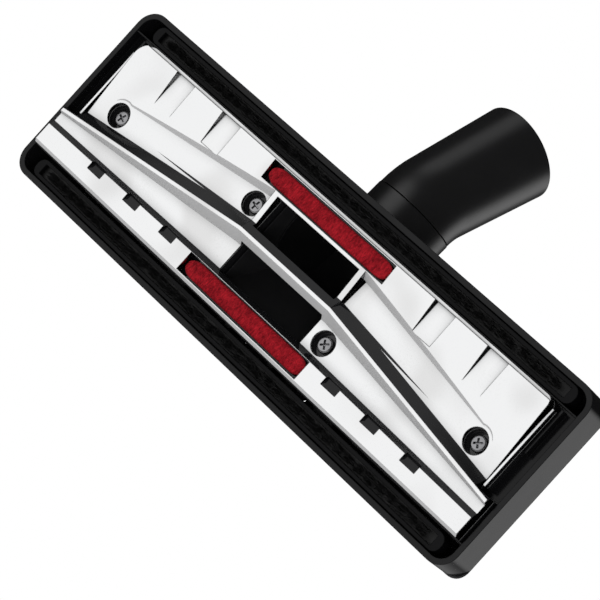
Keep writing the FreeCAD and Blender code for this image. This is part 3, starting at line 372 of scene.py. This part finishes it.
# Red pile on a dark backing, which begins at the height pileFoot above the floor plane.
velourPile = {"dark": (0.16, 0.004, 0.008), "bright": (0.62, 0.020, 0.034), "backing": (0.006, 0.004, 0.004),
              "pileFoot": 0.0030, "pileEdge": 0.0004,
              "fibreScale": 1500.0, "fibreDetail": 3.0, "fibreRoughness": 0.65, "fibreTurn": 35,
              "fibreStretch": 0.35, "patchScale": 260.0, "patchDetail": 3.0, "patchWeight": 0.55,
              "brightLow": 0.55, "brightHigh": 1.05, "bumpStrength": 0.8, "bumpDepth": 0.00025,
              "roughness": 0.9, "specular": 0.15, "sheen": 0.25, "sheenRoughness": 0.4,
              "sheenTint": (0.9, 0.25, 0.3)}


def makeVelour():
    values = velourPile
    material, tree, shader = newMaterial("redVelour")
    place = addPlace(tree)
    lean = addNode(tree, "ShaderNodeMapping", {
        "Vector": place, "Rotation": (0, 0, math.radians(values["fibreTurn"])),
        "Scale": (1.0, values["fibreStretch"], 1.0)})
    fibre = addNoise(tree, lean.outputs["Vector"], values["fibreScale"], values["fibreDetail"],
                     values["fibreRoughness"])
    patch = addNoise(tree, place, values["patchScale"], values["patchDetail"])
    blend = addMath(tree, "MULTIPLY_ADD", patch, values["patchWeight"], fibre)
    bright = addRange(tree, blend, (values["brightLow"], values["brightHigh"], 0.0, 1.0))
    pile = addMix(tree, "RGBA", bright, values["dark"], values["bright"])
    height = splitVector(tree, place)["Z"]
    footEnds = (values["pileFoot"] - values["pileEdge"], values["pileFoot"] + values["pileEdge"])
    foot = addRange(tree, height, (*footEnds, 0.0, 1.0))
    setInputs(tree, shader, {
        "Base Color": addMix(tree, "RGBA", foot, pile, values["backing"]),
        "Normal": addBump(tree, {"Strength": values["bumpStrength"], "Distance": values["bumpDepth"],
                                 "Height": fibre}),
        "Roughness": values["roughness"], "Specular IOR Level": values["specular"],
        "Sheen Weight": addRange(tree, height, (*footEnds, values["sheen"], 0.0)),
        "Sheen Roughness": values["sheenRoughness"], "Sheen Tint": (*values["sheenTint"], 1)})
    return material


bristleNylon = {"dark": (0.003, 0.003, 0.003), "bright": (0.010, 0.010, 0.010),
                "scale": 1800.0, "detail": 1.0, "roughness": 0.45, "specular": 0.3}


def makeBristleNylon():
    values = bristleNylon
    material, tree, shader = newMaterial("bristleNylon")
    hair = addNoise(tree, addPlace(tree), values["scale"], values["detail"])
    setInputs(tree, shader, {"Base Color": addMix(tree, "RGBA", hair, values["dark"], values["bright"]),
                             "Roughness": values["roughness"], "Specular IOR Level": values["specular"]})
    return material


materials = {name: makeMoulded(name, *values) for name, values in mouldedFinishes.items()}
materials.update({name: makeMetal(name, *values) for name, values in metalFinishes.items()})
materials.update({"soleChrome": makeChrome(), "redVelour": makeVelour(), "bristleNylon": makeBristleNylon()})

nodeFinish = {
    "base_frame": "casingPlastic", "top_cover": "coverPlastic", "sole_plate": "soleChrome",
    "lint_strip_rear": "redVelour", "lint_strip_front": "redVelour", "sole_screws": "screwSteel",
    "neck_drum": "neckPlastic", "retainer_left": "capPlastic", "retainer_right": "capPlastic",
    "retainer_screws": "screwSteel", "detent_springs": "springSteel", "elbow_tube": "elbowPlastic",
    "swivel_ring": "ringPlastic", "brush_carrier": "barPlastic", "pedal": "pedalPlastic",
    "pedal_pin": "pinSteel", "air_duct": "innerPlastic", "duct_seal": "sealFoam",
    "brush_back_front": "backPlastic", "brush_back_rear": "backPlastic",
    "bristles_front": "bristleNylon", "bristles_rear": "bristleNylon",
}
for nodeName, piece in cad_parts.items():
    dress(piece, materials[nodeFinish[nodeName]])
print("materials:", len(materials))


# Lint strips. Each is a grid over s along it and t across it, both from -1 to 1. Its height is the depth of
# the pile times a fall-off that drops to the back at all four edges, and its ends are narrowed to a round.
lintStrip = {"along": 620, "across": 72, "endFall": 60, "sideFall": 6, "fallCurve": 0.3, "pileNoise": 0.00011,
             "patchNoise": 0.00012, "patchCells": (150, 18), "proud": 0.0002, "endTaper": 0.0060,
             "endRound": 0.98}


def makeLintStrip(name, node, seed):
    low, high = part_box(node)
    s = np.linspace(-1, 1, lintStrip["along"])[:, None]
    t = np.linspace(-1, 1, lintStrip["across"])[None, :]
    fall = (1 - np.abs(s) ** lintStrip["endFall"]) * (1 - np.abs(t) ** lintStrip["sideFall"])
    rise = np.clip(fall, 0, 1) ** lintStrip["fallCurve"]
    shape = rise.shape
    fuzz = np.random.default_rng(seed).normal(0, lintStrip["pileNoise"], shape)
    fuzz += softNoise(shape, lintStrip["patchCells"], seed + 1) * lintStrip["patchNoise"]
    depth = high.z - low.z + lintStrip["proud"]
    x = (low.x + high.x) / 2 + s * (high.x - low.x) / 2
    fromEnd = np.clip(1 - (1 - np.abs(s)) * (high.x - low.x) / 2 / lintStrip["endTaper"], 0, 1)
    narrow = 1 - lintStrip["endRound"] * (1 - np.sqrt(1 - fromEnd ** 2))
    y = (low.y + high.y) / 2 + t * narrow * (high.y - low.y) / 2
    z = high.z - depth * rise + fuzz * rise
    points = np.stack(np.broadcast_arrays(x, y, z), axis=-1).reshape(-1, 3)
    index = np.arange(shape[0] * shape[1]).reshape(shape)
    border = np.concatenate([index[:, 0], index[-1, 1:], index[-2::-1, -1], index[0, -2:0:-1]])
    faces = np.array(gridFaces(*shape))[:, ::-1].tolist()
    strip = makeMesh(name, points, faces + [border.tolist()])
    dress(strip, materials["redVelour"])
    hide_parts(node)
    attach(strip, "head")


makeLintStrip("lintPileRear", "lint_strip_rear", 11)
makeLintStrip("lintPileFront", "lint_strip_front", 12)
print("lint strips done")


# Bristles. Each hair is a three-sided taper from its root in the bar to a scattered tip.
brushRow = {"tufts": 39, "pitch": 0.0063, "width": 0.0050, "depth": 0.0036, "hairs": 64,
            "hairRadius": 0.00011, "tipTaper": 0.7, "tipScatter": 0.0004, "lean": 0.0004}


def makeBristles(name, node, seed):
    low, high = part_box(node)
    rng = np.random.default_rng(seed)
    tufts, hairs = brushRow["tufts"], brushRow["hairs"]
    centre = (np.arange(tufts) - (tufts - 1) / 2) * brushRow["pitch"] + (low.x + high.x) / 2
    rootX = centre[:, None] + rng.uniform(-0.5, 0.5, (tufts, hairs)) * brushRow["width"]
    rootY = (low.y + high.y) / 2 + rng.uniform(-0.5, 0.5, (tufts, hairs)) * brushRow["depth"]
    tipX = rootX + rng.normal(0, brushRow["lean"], rootX.shape)
    tipY = rootY + rng.normal(0, brushRow["lean"], rootX.shape)
    tipZ = low.z + rng.uniform(0, brushRow["tipScatter"], rootX.shape)
    angle = np.arange(3) * 2 * np.pi / 3
    ring = np.stack([np.cos(angle), np.sin(angle)]) * brushRow["hairRadius"]
    root = np.stack([rootX[..., None] + ring[0], rootY[..., None] + ring[1],
                     np.full(rootX.shape + (3,), high.z)], axis=-1)
    tip = np.stack([tipX[..., None] + ring[0] * brushRow["tipTaper"],
                    tipY[..., None] + ring[1] * brushRow["tipTaper"],
                    np.repeat(tipZ[..., None], 3, axis=-1)], axis=-1)
    points = np.stack([root, tip], axis=2).reshape(-1, 3)
    first = (np.arange(tufts * hairs) * 6)[:, None, None]  # a hair has six points: three at each end
    sides = np.array([[0, 3, 4, 1], [1, 4, 5, 2], [2, 5, 3, 0]])[None] + first
    caps = np.array([[0, 1, 2], [5, 4, 3]])[None] + first
    row = makeMesh(name, points, sides.reshape(-1, 4).tolist() + caps.reshape(-1, 3).tolist(), smooth=False)
    dress(row, materials["bristleNylon"])
    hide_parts(node)
    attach(row, "brush")


makeBristles("hairRowFront", "bristles_front", 21)
makeBristles("hairRowRear", "bristles_rear", 22)
print("bristles done")


# Rocker: the CAD lever with a moulded cap. Every point of the cap is given by a place along its section and
# a place along x. The section is drawn level about the pin, y to the rear and z up, and tipped to rest after.
# Angles are in degrees up from straight ahead.
rockerCap = {"pin": (-0.021, 0.030), "tip": 17.5, "half": 0.0266, "skirtRadius": 0.0158, "skirtLow": -12.0,
             "slotTop": 19.0, "slotInner": 0.0117, "slotOuter": 0.0158, "skirtTop": 35.0, "skirtLap": 4,
             "top": 0.0107, "rear": 0.0127, "corner": 0.0011, "cornerStart": 20, "wall": 0.0014,
             "sideRear": -0.001, "sideLap": 2, "along": 24, "ribs": (-0.0078, -0.0039, 0.0, 0.0039, 0.0078),
             "ribRadius": 0.0006, "ribHalf": 0.0200, "ribSunk": 0.0001,
             "bandSteps": 12, "shoulderSteps": 6, "cornerSteps": 8, "sideSteps": 16, "ribSteps": 9}


def arcPoints(radius, start, end, steps):  # (y, z) about the pin
    angle = np.radians(np.linspace(start, end, steps))
    return np.column_stack([-radius * np.cos(angle), radius * np.sin(angle)])


def prism(section, low, high, columns):  # a closed section carried along x, with both ends filled
    count = len(section)
    across = np.repeat(np.linspace(low, high, columns), count)
    points = np.column_stack([across, np.tile(section, (columns, 1))])
    start = np.arange(count)
    end = start[::-1] + (columns - 1) * count
    return points, gridFaces(columns, count, wrap=True) + [start.tolist(), end.tolist()]


# The top runs from an arc about the pin over a small round corner into a flat plate. The skirt is the band
# of that arc below it, open where the arms pass. Side walls fill the sector, and ribs are half rounds.
def capBodies():  # closed bodies, level about the pin
    values = rockerCap
    radius, wall, half, columns = values["skirtRadius"], values["wall"], values["half"], values["along"]
    low, slotTop, top = values["skirtLow"], values["slotTop"], values["top"]
    shoulder = arcPoints(radius, slotTop, values["skirtTop"], values["shoulderSteps"])
    turn = np.radians(np.linspace(values["cornerStart"], 90, values["cornerSteps"]))
    corner = np.column_stack([shoulder[-1, 0] + values["corner"] * (1 - np.cos(turn)),
                              top - values["corner"] * (1 - np.sin(turn))])
    rear = np.array([(values["rear"], top), (values["rear"], top - wall)])
    inner = np.array([(shoulder[-1, 0] + wall, top - wall)])
    innerTop = values["skirtTop"] - values["skirtLap"]
    under = arcPoints(radius - wall, innerTop, slotTop, values["shoulderSteps"])
    bodies = [prism(np.concatenate([shoulder, corner, rear, inner, under]), -half, half, columns)]
    band = np.concatenate([arcPoints(radius, low, slotTop, values["bandSteps"]),
                           arcPoints(radius - wall, slotTop, low, values["bandSteps"])])
    for start, end in ((-half, -values["slotOuter"]), (-values["slotInner"], values["slotInner"]),
                       (values["slotOuter"], half)):
        bodies.append(prism(band, start, end, columns))
    foot = arcPoints(radius - wall / 2, low, values["skirtTop"] - values["sideLap"], values["sideSteps"])
    side = np.concatenate([foot, [(values["sideRear"], top - wall / 2), (values["sideRear"], foot[0, 1])]])
    bodies += [prism(side, -half, wall - half, 2), prism(side, half - wall, half, 2)]
    bow = np.radians(np.linspace(0, 180, values["ribSteps"]))
    for line in values["ribs"]:
        rib = np.column_stack([line - values["ribRadius"] * np.cos(bow),
                               top - values["ribSunk"] + values["ribRadius"] * np.sin(bow)])
        bodies.append(prism(rib, -values["ribHalf"], values["ribHalf"], columns))
    return bodies


def makeRocker():
    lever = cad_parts["pedal"].data
    count = len(lever.vertices)
    places = np.empty(count * 3, dtype=np.float32)
    lever.vertices.foreach_get("co", places)
    points = [places.reshape(-1, 3)]
    faces = [list(face.vertices) for face in lever.polygons]
    tip = math.radians(rockerCap["tip"])
    sine, cosine = math.sin(tip), math.cos(tip)
    for corners, sides in capBodies():
        x, y, z = corners.T
        tipped = np.column_stack([x, rockerCap["pin"][0] + y * cosine + z * sine,
                                  rockerCap["pin"][1] - y * sine + z * cosine])
        faces += [(np.array(face) + count).tolist() for face in sides]
        points.append(tipped)
        count += len(tipped)
    rocker = makeMesh("rocker", np.concatenate(points), faces, smooth=False)
    dress(rocker, materials["pedalPlastic"])
    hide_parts("pedal")
    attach(rocker, "pedal")


makeRocker()
print("rocker done")


# Sole screws. A profile of radius and height is turned about each screw's axis. The cross is pressed into the
# head where either of two smooth bars is. Places are x, y and the turn of the cross in degrees.
soleScrew = {"places": ((0.1135, 0.0008, 20), (-0.1135, 0.0008, -35),
                        (0.0341, 0.0114, 10), (-0.0341, -0.0114, 52)),
             "headRadius": 0.0036, "headHeight": 0.0022, "domeShare": 0.8, "domeRise": 0.0003,
             "shankRadius": 0.0018, "pointShare": 0.6, "pointLength": 0.001,
             "crossReach": 0.0021, "crossHalf": 0.00042, "crossDepth": 0.0013,
             "reachBlend": 0.0005, "halfBlend": 0.00014,
             "around": 160, "domeSteps": 44, "rimSteps": 8, "weld": 0.000002}


def makeSoleScrews():
    low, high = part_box("sole_screws")
    head, tall = soleScrew["headRadius"], soleScrew["headHeight"]
    share, lift = soleScrew["domeShare"], soleScrew["domeRise"]
    seat = low.z + tall
    inner = np.linspace(0, head * share, soleScrew["domeSteps"])
    dome = seat - tall + lift * (inner / head) ** 2
    turn = np.linspace(0, np.pi / 2, soleScrew["rimSteps"])
    rimWidth = head * (1 - share)
    rim = head * share + rimWidth * np.sin(turn)
    rimZ = seat - tall + lift + rimWidth * (1 - np.cos(turn))
    shank, bottom = soleScrew["shankRadius"], high.z
    radius = np.concatenate([inner, rim, [head, shank, shank, shank * soleScrew["pointShare"], 0]])
    height = np.concatenate([dome, rimZ, [seat, seat, bottom - soleScrew["pointLength"], bottom, bottom]])
    theta = np.linspace(0, 2 * np.pi, soleScrew["around"], endpoint=False)
    u, v = radius[:, None] * np.cos(theta), radius[:, None] * np.sin(theta)
    long, short = np.maximum(abs(u), abs(v)), np.minimum(abs(u), abs(v))
    reach = np.clip((soleScrew["crossReach"] - long) / soleScrew["reachBlend"], 0, 1)
    wide = np.clip((soleScrew["crossHalf"] - short) / soleScrew["halfBlend"], 0, 1)
    onDome = (np.arange(len(radius)) < len(inner))[:, None]
    z = height[:, None] + onDome * reach * wide * soleScrew["crossDepth"]
    pieces = []
    for x, y, degrees in soleScrew["places"]:
        cosine, sine = math.cos(math.radians(degrees)), math.sin(math.radians(degrees))
        placed = [x + u * cosine - v * sine, y + u * sine + v * cosine, z]
        pieces.append(np.stack(placed, axis=-1).reshape(-1, 3))
    quads = np.array(gridFaces(len(radius), soleScrew["around"], wrap=True))
    faces = np.concatenate([quads + number * len(pieces[0]) for number in range(len(pieces))])
    screws = makeMesh("crossScrews", np.concatenate(pieces), faces.tolist())
    weld = screws.modifiers.new("weld", "WELD")
    weld.merge_threshold = soleScrew["weld"]
    dress(screws, materials["screwSteel"])
    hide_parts("sole_screws")
    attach(screws, "head")


makeSoleScrews()
print("screws done")


# Floor, world, lamps and camera. Centres are directions, and ranges are cosines to them or parts of y.
studio = {"floorSize": 4.0, "floorDrop": 0.0002, "floorColour": (0.80, 0.80, 0.79), "floorRoughness": 0.85,
          "floorSpecular": 0.1, "backdrop": 1.0, "ambient": 0.55, "background": (1, 1, 1, 1),
          "softbox": 1.0, "softboxCentre": (0.511, -0.05, -0.858), "softboxRange": (0.80, 0.985),
          "overhead": 1.1, "overheadCentre": (-0.511, -0.012, 0.859), "overheadRange": (0.90, 0.99),
          "neck": 0.5, "neckCentre": (0.50, 0.80, -0.34), "neckRange": (0.92, 0.995),
          "greySide": 0.46, "darkSide": 0.012, "sideRange": (-0.50, -0.12)}


def makeFloor():  # the camera sees it from above only, so it never hides the sole
    half = studio["floorSize"] / 2
    corners = np.array([(-half, -half), (half, -half), (half, half), (-half, half)])
    points = np.column_stack([corners, np.full(4, -studio["floorDrop"])])
    floor = makeMesh("floor", points, [[0, 1, 2, 3]], smooth=False)
    material, tree, shader = newMaterial("paleFloor")
    setInputs(tree, shader, {"Base Color": (*studio["floorColour"], 1), "Roughness": studio["floorRoughness"],
                             "Specular IOR Level": studio["floorSpecular"]})
    cameraRay = addNode(tree, "ShaderNodeLightPath").outputs["Is Camera Ray"]
    backfacing = addNode(tree, "ShaderNodeNewGeometry").outputs["Backfacing"]
    seen = addMath(tree, "SUBTRACT", cameraRay, backfacing, clamp=True)
    clear = addNode(tree, "ShaderNodeBsdfTransparent")
    mix = addNode(tree, "ShaderNodeMixShader", {0: seen, 1: clear.outputs[0], 2: shader.outputs[0]})
    setInputs(tree, tree.nodes["Material Output"], {"Surface": mix.outputs[0]})
    dress(floor, material)


def makeWorld():  # white to the camera, an even grey to matt surfaces, a softbox and dark cards to shiny ones
    world = bpy.data.worlds.new("studio")
    scene.world = world
    world.use_nodes = True
    tree = world.node_tree
    tree.nodes.clear()
    direction = addNode(tree, "ShaderNodeTexCoord").outputs["Generated"]

    def addCard(name, strength):  # smooth round glow about the card's centre
        turn = addDot(tree, direction, studio[name + "Centre"])
        return addRange(tree, turn, (*studio[name + "Range"], 0.0, strength), smooth=True)

    side = addRange(tree, splitVector(tree, direction)["Y"],
                    (*studio["sideRange"], studio["greySide"], studio["darkSide"]), smooth=True)
    boxed = addMix(tree, "FLOAT", addCard("softbox", 1.0), side, studio["softbox"])
    glows = addMath(tree, "MAXIMUM", addCard("overhead", studio["overhead"]), addCard("neck", studio["neck"]))
    shiny = addMath(tree, "MAXIMUM", glows, boxed)
    rays = addNode(tree, "ShaderNodeLightPath").outputs
    forGlossy = addMix(tree, "FLOAT", rays["Is Glossy Ray"], studio["ambient"], shiny)
    forCamera = addMix(tree, "FLOAT", rays["Is Camera Ray"], forGlossy, studio["backdrop"])
    light = addNode(tree, "ShaderNodeBackground", {"Color": studio["background"], "Strength": forCamera})
    addNode(tree, "ShaderNodeOutputWorld", {"Surface": light.outputs[0]})


lamps = {  # where each comes from, its irradiance and its softness in degrees
    "belowKey": ((-0.75, -0.25, -1.0), 1.1, 30),
    "aboveKey": ((-0.5, -0.6, 1.2), 1.4, 30),
    "aboveFill": ((0.9, 0.5, 0.8), 0.5, 50),
}


def makeLamps():
    for name, (source, strength, softness) in lamps.items():
        lamp = bpy.data.lights.new(name, "SUN")
        lamp.energy = strength
        lamp.angle = math.radians(softness)
        holder = bpy.data.objects.new(name, lamp)
        scene.collection.objects.link(holder)
        holder.rotation_mode = "QUATERNION"
        holder.rotation_quaternion = Vector(source).to_track_quat("Z", "Y")
        holder.location = source
        holder.visible_glossy = False  # shiny pieces show the softbox of the world, not the lamps


# Place and directions of the camera were solved from the corners of the casing.
shot = {"place": (-0.5955, 0.0104, -0.9747), "right": (-0.633105, 0.670300, 0.387137),
        "forward": (0.511246, -0.013436, 0.859329), "focalPerFrame": 2844.36 / 600, "sensorWidth": 36.0,
        "clip": (0.05, 20.0)}


def makeCamera():
    camera = bpy.data.cameras.new("camera")
    camera.sensor_width = shot["sensorWidth"]
    camera.lens = shot["focalPerFrame"] * camera.sensor_width
    camera.clip_start, camera.clip_end = shot["clip"]
    holder = bpy.data.objects.new("camera", camera)
    scene.collection.objects.link(holder)
    back = -Vector(shot["forward"]).normalized()
    right = Vector(shot["right"])
    right = (right - right.dot(back) * back).normalized()
    turn = Matrix((right, back.cross(right), back)).transposed()
    holder.matrix_world = Matrix.Translation(shot["place"]) @ turn.to_4x4()
    scene.camera = holder


makeFloor()
makeWorld()
makeLamps()
makeCamera()
print("scene ready")
